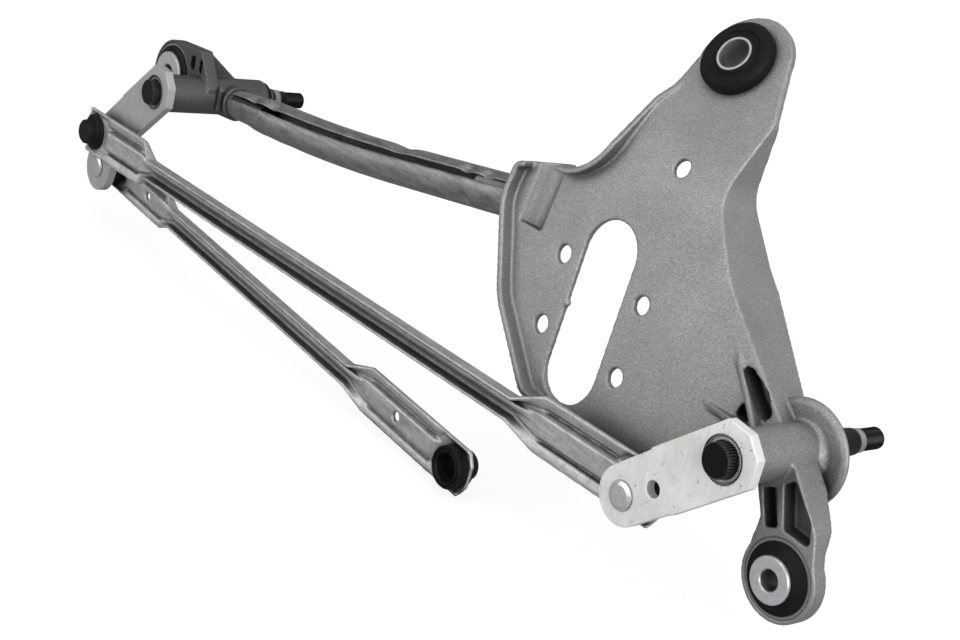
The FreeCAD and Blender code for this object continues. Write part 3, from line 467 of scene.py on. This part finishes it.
def stand_for(node, mesh):
    """Makes a piece of a mesh, which rides where the CAD node does and is shown in its place."""
    piece = bpy.data.objects.new(node + "_detail", mesh)
    bpy.context.scene.collection.objects.link(piece)
    for polygon in mesh.polygons:
        polygon.use_smooth = True
    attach(piece, BODY_OF[node])
    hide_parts(node)
    return dress(piece, SLOT_OF[node])


def bake(piece):
    """Applies the piece's modifiers."""
    graph = bpy.context.evaluated_depsgraph_get()
    made = bpy.data.meshes.new_from_object(piece.evaluated_get(graph))
    old = piece.data
    piece.modifiers.clear()
    piece.data = made
    bpy.data.meshes.remove(old)
    return piece


def copy_mesh(node):
    """Welded copy of a CAD node's mesh."""
    made = bmesh.new()
    made.from_mesh(frame["nodes"][node].data)
    bmesh.ops.remove_doubles(made, verts=made.verts, dist=WELD)
    mesh = bpy.data.meshes.new(node + "_detail")
    made.to_mesh(mesh)
    made.free()
    return mesh


def softened(node, voxel, rounds, keep, push=None):
    """A CAD node with the rounded edges and filled corners of a casting or a pressing.

    It's remeshed, smoothed in rounds, pushed point by point and thinned to the share to keep.
    """
    piece = stand_for(node, copy_mesh(node))
    remesh = piece.modifiers.new("remesh", "REMESH")
    remesh.mode = "VOXEL"
    remesh.voxel_size = voxel
    remesh.use_smooth_shade = True
    smooth = piece.modifiers.new("smooth", "SMOOTH")
    smooth.factor = 0.5
    smooth.iterations = rounds
    bake(piece)
    if push:
        for vertex in piece.data.vertices:
            vertex.co += push(vertex.co)
    thin = piece.modifiers.new("thin", "DECIMATE")
    thin.ratio = keep
    bake(piece)
    return dress(piece, SLOT_OF[node])


def flat_faces(piece):
    """Lets large faces keep their own direction, so that only the small rounds shade off."""
    piece.data.set_sharp_from_angle(angle=math.radians(SHARP_ANGLE))
    for polygon in piece.data.polygons:
        polygon.use_smooth = True
    weighted = piece.modifiers.new("weighted", "WEIGHTED_NORMAL")
    weighted.weight = 100
    weighted.keep_sharp = True
    bake(piece)


def bevelled(node, width):
    """A CAD node with small rounded edges."""
    piece = stand_for(node, copy_mesh(node))
    made = bmesh.new()
    made.from_mesh(piece.data)
    flat = math.radians(FLAT_ANGLE)
    bmesh.ops.dissolve_limit(made, angle_limit=flat, verts=made.verts, edges=made.edges)
    made.to_mesh(piece.data)
    made.free()
    bevel = piece.modifiers.new("bevel", "BEVEL")
    bevel.width = width
    bevel.segments = 2
    bevel.limit_method = "ANGLE"
    bevel.angle_limit = math.radians(SHARP_ANGLE)
    return bake(piece)


def lathe(name, rings, side):
    """Mesh of rings round a side's spindle axis; each is (y, radius as a function of the step)."""
    made = bmesh.new()
    rows = []
    for y, radius in rings:
        row = []
        for i in range(ROUND_STEPS):
            a = 2 * math.pi * i / ROUND_STEPS
            r = radius(i)
            row.append(made.verts.new((r * math.cos(a), y, r * math.sin(a))))
        rows.append(row)
    for row, following in zip(rows, rows[1:]):
        for i in range(ROUND_STEPS):
            j = (i + 1) % ROUND_STEPS
            made.faces.new((row[i], row[j], following[j], following[i]))
    made.faces.new(rows[0][::-1])
    made.faces.new(rows[-1])
    bmesh.ops.recalc_face_normals(made, faces=made.faces)
    mesh = bpy.data.meshes.new(name)
    made.to_mesh(mesh)
    made.free()
    mesh.transform(Matrix.Scale(MM, 4))
    mesh.transform(Matrix.Translation(crank_front(side)))
    return mesh


def round_at(r):
    """Radius of a plain ring."""
    return lambda i: r


def knurled(r, depth):
    """Radius of fine straight teeth, four steps to a tooth."""
    return lambda i: r - (depth if i % 4 in (0, 3) else 0.0)


def thread_at(y, start):
    """Radius of a screw thread: a wave that climbs by one pitch in a turn."""
    def radius(i):
        phase = ((y - start) / THREAD_PITCH - i / ROUND_STEPS) % 1.0
        return THREAD_R - THREAD_DEPTH * (1 - abs(2 * phase - 1))
    return radius


def spindle(side):
    """Spindle with a knurled head, knurled cone and a real thread."""
    front, back = [corner.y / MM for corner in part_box(side + "_crank")]
    crank_t = back - front
    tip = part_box(side + "_spindle")[1].y / MM - front
    thread = tip - THREAD_L
    cone_end = thread - NECK_L
    cone = cone_end - CONE_L
    head_r = KNURL_R - HEAD_DROP
    rings = [(-KNURL_PROUD, round_at(head_r - HEAD_FLAT)), (-KNURL_PROUD, round_at(head_r)),
             (HEAD_CHAMFER - KNURL_PROUD, knurled(KNURL_R, KNURL_DEPTH)),
             (crank_t, knurled(KNURL_R, KNURL_DEPTH)),
             (crank_t, round_at(SPINDLE_R)), (cone - CONE_RISE, round_at(SPINDLE_R)),
             (cone, knurled(CONE_R0, CONE_DEPTH0)), (cone_end - CONE_FALL, knurled(CONE_R1, CONE_DEPTH1)),
             (cone_end, round_at(NECK_R)), (thread - UNDERCUT_START, round_at(NECK_R)),
             (thread - UNDERCUT_END, round_at(THREAD_R - UNDERCUT_DROP))]
    count = int((THREAD_L - TIP_L) / THREAD_PITCH * THREAD_RINGS)
    for k in range(count + 1):
        y = thread + k * THREAD_PITCH / THREAD_RINGS
        rings.append((y, thread_at(y, thread)))
    rings.append((tip - TIP_CHAMFER, round_at(TIP_R)))
    rings.append((tip, round_at(TIP_R - TIP_DROP)))
    mesh = lathe(side + "_spindle_detail", rings, side)
    stand_for(side + "_spindle", mesh)
    mesh.set_sharp_from_angle(angle=math.radians(TURNED_SHARP))


def limited(value):
    """Value kept between 0 and 1."""
    return max(0.0, min(1.0, value))


def bead_along(start, end, wide):
    """Push of a link's bead and of the grooves in its wide ends, from one ball to the other."""
    near_wide, far_wide = [length * MM for length in wide]
    along = end - start
    length = along.length
    along = along / length
    side = along.cross(Vector((0, 1, 0))).normalized()
    if side.z < 0:
        side = -side

    def push(point):
        run = (point - start).dot(along)
        offset = (point - start).dot(side)
        inside = min(run - near_wide, length - far_wide - run) / (BEAD_RUN * MM)
        across = abs(offset - BEAD_UP * MM) / (BEAD_HALF * MM)
        on_bead = limited(inside) * limited(BEAD_STEEP * (BEAD_FOOT - across))
        near_end = min(run - PAD_START * MM, near_wide - PAD_SHORT * MM - run)
        far_end = min(length - PAD_START * MM - run, run - length + far_wide - PAD_SHORT * MM)
        from_groove = abs(abs(offset) - PAD_GROOVE_AT * MM) / (PAD_GROOVE_HALF * MM)
        on_pad = limited(max(near_end, far_end) / (PAD_RUN * MM))
        in_groove = on_pad * math.exp(-from_groove * from_groove)
        return Vector((0, PAD_GROOVE_DEPTH * MM * in_groove - BEAD_RISE * MM * on_bead, 0))
    return push


def tube_dents(point):
    """Push of the dents towards the tube's middle line."""
    start, end = [at(*place) for place in TUBE_LINE]
    along = end - start
    foot = start + along * limited((point - start).dot(along) / along.length_squared)
    push = Vector((0, 0, 0))
    for place, reach, depth in TUBE_DENTS:
        far = (point - at(*place)).length / (reach * MM)
        if far < DENT_END:
            push += (foot - point).normalized() * (depth * MM * math.exp(-far * far * DENT_FALL))
    return push


def cut_out(piece, cutter_mesh):
    """Cuts a closed mesh out of a piece."""
    tool = bpy.data.objects.new("tool", cutter_mesh)
    bpy.context.scene.collection.objects.link(tool)
    cut = piece.modifiers.new("cut", "BOOLEAN")
    cut.operation = "DIFFERENCE"
    cut.solver = "EXACT"
    cut.object = tool
    bpy.context.view_layer.update()
    bake(piece)
    bpy.data.objects.remove(tool)


def staked_ring(side):
    """Round sink in a crank's face: a groove, a flat ring, and the teeth that the pressed knurl left."""
    outer = SINK_R - SINK_OUTER_SLOPE
    inner = outer - SINK_GROOVE_W
    sink_floor = SINK_DEPTH + SINK_FLOOR_DEPTH
    rings = [(-SINK_OVER, round_at(SINK_R + SINK_FLARE)), (0.0, round_at(SINK_R)),
             (SINK_GROOVE, round_at(outer)), (SINK_GROOVE, round_at(inner)),
             (SINK_DEPTH, round_at(inner - SINK_INNER_SLOPE)),
             (SINK_DEPTH, knurled(KNURL_R + SINK_TEETH_PLAY, SINK_TEETH_DEPTH)),
             (sink_floor, knurled(KNURL_R + SINK_FLOOR_PLAY, SINK_FLOOR_TEETH)),
             (sink_floor, round_at(KNURL_R - SINK_FLOOR_EDGE))]
    return lathe("sink", rings, side)


def crank(side):
    """Crank with rounded edges and the ring staked round its spindle's head."""
    node = side + "_crank"
    piece = bevelled(node, CRANK_ROUND * MM)
    cut_out(piece, staked_ring(side))
    flat_faces(piece)
    dress(piece, SLOT_OF[node])


for node, body in frame["nodes"].items():
    dress(body, SLOT_OF[node])

softened("driver_bracket", FINE_VOXEL * MM, rounds=7, keep=0.25)
softened("passenger_bracket", FINE_VOXEL * MM, rounds=6, keep=0.3)
softened("long_link", FINE_VOXEL * MM, rounds=3, keep=0.3,
         push=bead_along(DRIVER_BALL, PASSENGER_BALL, LONG_LINK_WIDE))
softened("motor_link", FINE_VOXEL * MM, rounds=3, keep=0.3,
         push=bead_along(MOTOR_LINK_BALL, FREE_SOCKET, MOTOR_LINK_WIDE))
softened("frame_tube", TUBE_VOXEL * MM, rounds=3, keep=0.4, push=tube_dents)
crank("driver")
crank("passenger")
spindle("driver")
spindle("passenger")


# Floor, light and camera

def floor():
    """Pale matt floor just under the part, which takes its shadow."""
    height = cad_box[0].z - FLOOR_GAP
    middle = (cad_box[0] + cad_box[1]) / 2
    mesh = bpy.data.meshes.new("floor")
    corners = [(middle.x + a * FLOOR_HALF, middle.y + b * FLOOR_HALF, height)
               for a, b in ((-1, -1), (1, -1), (1, 1), (-1, 1))]
    mesh.from_pydata(corners, [], [(0, 1, 2, 3)])
    piece = bpy.data.objects.new("floor", mesh)
    bpy.context.scene.collection.objects.link(piece)
    n = Nodes("floor")
    colour = n.ramp(n.grain(3.0, 2.0, 0.5), (0.3, 0.29), (0.7, 0.31))
    n.finish(colour, None, None, Roughness=0.9)
    glow = n.add("Emission")
    path = n.add("LightPath")
    seen = n.add("Math", operation="MULTIPLY")
    seen.inputs[1].default_value = FLOOR_GLOW
    n.link(path.outputs["Is Camera Ray"], seen.inputs[0])
    n.link(seen.outputs[0], glow.inputs["Strength"])
    both = n.add("AddShader")
    n.link(n.shader.outputs[0], both.inputs[0])
    n.link(glow.outputs[0], both.inputs[1])
    n.link(both.outputs[0], n.tree.nodes["Material Output"].inputs["Surface"])
    mesh.materials.append(n.material)


def world():
    """Soft boxes round the object over a dim room, seen as white by the camera."""
    made = bpy.data.worlds.new("studio")
    made.use_nodes = True
    bpy.context.scene.world = made
    tree = made.node_tree
    tree.nodes.clear()
    place = tree.nodes.new("ShaderNodeTexCoord")
    total = None
    for direction, start, end, level in SOFT_BOXES:
        towards = tree.nodes.new("ShaderNodeVectorMath")
        towards.operation = "DOT_PRODUCT"
        towards.inputs[1].default_value = Vector(direction).normalized()
        strength = tree.nodes.new("ShaderNodeMapRange")
        strength.interpolation_type = "SMOOTHSTEP"
        for key, value in (("From Min", start), ("From Max", end), ("To Min", 0.0), ("To Max", level)):
            strength.inputs[key].default_value = value
        tree.links.new(place.outputs["Generated"], towards.inputs[0])
        tree.links.new(towards.outputs["Value"], strength.inputs["Value"])
        both = tree.nodes.new("ShaderNodeMath")
        both.inputs[1].default_value = ROOM_LEVEL
        if total:
            tree.links.new(total, both.inputs[1])
        tree.links.new(strength.outputs["Result"], both.inputs[0])
        total = both.outputs[0]
    light = tree.nodes.new("ShaderNodeBackground")
    light.inputs["Color"].default_value = LIGHT_TINT
    white = tree.nodes.new("ShaderNodeBackground")
    white.inputs["Color"].default_value = (1, 1, 1, 1)
    path = tree.nodes.new("ShaderNodeLightPath")
    mix = tree.nodes.new("ShaderNodeMixShader")
    out = tree.nodes.new("ShaderNodeOutputWorld")
    tree.links.new(total, light.inputs["Strength"])
    tree.links.new(path.outputs["Is Camera Ray"], mix.inputs["Fac"])
    tree.links.new(light.outputs[0], mix.inputs[1])
    tree.links.new(white.outputs[0], mix.inputs[2])
    tree.links.new(mix.outputs[0], out.inputs["Surface"])


def aimed(name, data, direction):
    """Puts a lamp in the scene, shining along a direction."""
    made = bpy.data.objects.new(name, data)
    bpy.context.scene.collection.objects.link(made)
    made.rotation_mode = "QUATERNION"
    made.rotation_quaternion = direction.to_track_quat("-Z", "Y")
    return made


def sun(name, direction, strength, softness):
    """Even light along a direction; softness is the lamp's apparent width in degrees."""
    data = bpy.data.lights.new(name, "SUN")
    data.energy = strength
    data.angle = math.radians(softness)
    aimed(name, data, Vector(direction))


def soft_box(name, place, target, size, power):
    """Square lamp near the object; place and target in metres."""
    data = bpy.data.lights.new(name, "AREA")
    data.energy = power
    data.size = size
    aimed(name, data, Vector(target) - Vector(place)).location = place


def camera():
    """Camera that sees the part as the photograph does."""
    azimuth = math.radians(CAMERA_AZIMUTH)
    elevation = math.radians(CAMERA_ELEVATION)
    roll = math.radians(CAMERA_ROLL)
    back = Vector((math.sin(azimuth) * math.cos(elevation), -math.cos(azimuth) * math.cos(elevation),
                   math.sin(elevation)))
    right = Vector((math.cos(azimuth), math.sin(azimuth), 0))
    up = back.cross(right)
    across = right * math.cos(roll) + up * math.sin(roll)
    upward = up * math.cos(roll) - right * math.sin(roll)
    data = bpy.data.cameras.new("camera")
    data.lens = LENS
    data.sensor_width = SENSOR
    data.clip_start = 0.01
    data.clip_end = 50.0
    made = bpy.data.objects.new("camera", data)
    bpy.context.scene.collection.objects.link(made)
    turn = Matrix((across, upward, back)).transposed().to_4x4()
    made.matrix_world = Matrix.Translation(at(*CAMERA_PLACE)) @ turn
    bpy.context.scene.camera = made


floor()
world()
camera()
soft_box("key", *KEY_LAMP)
sun("top", *TOP_LAMP)
bpy.context.scene.view_settings.view_transform = "Standard"
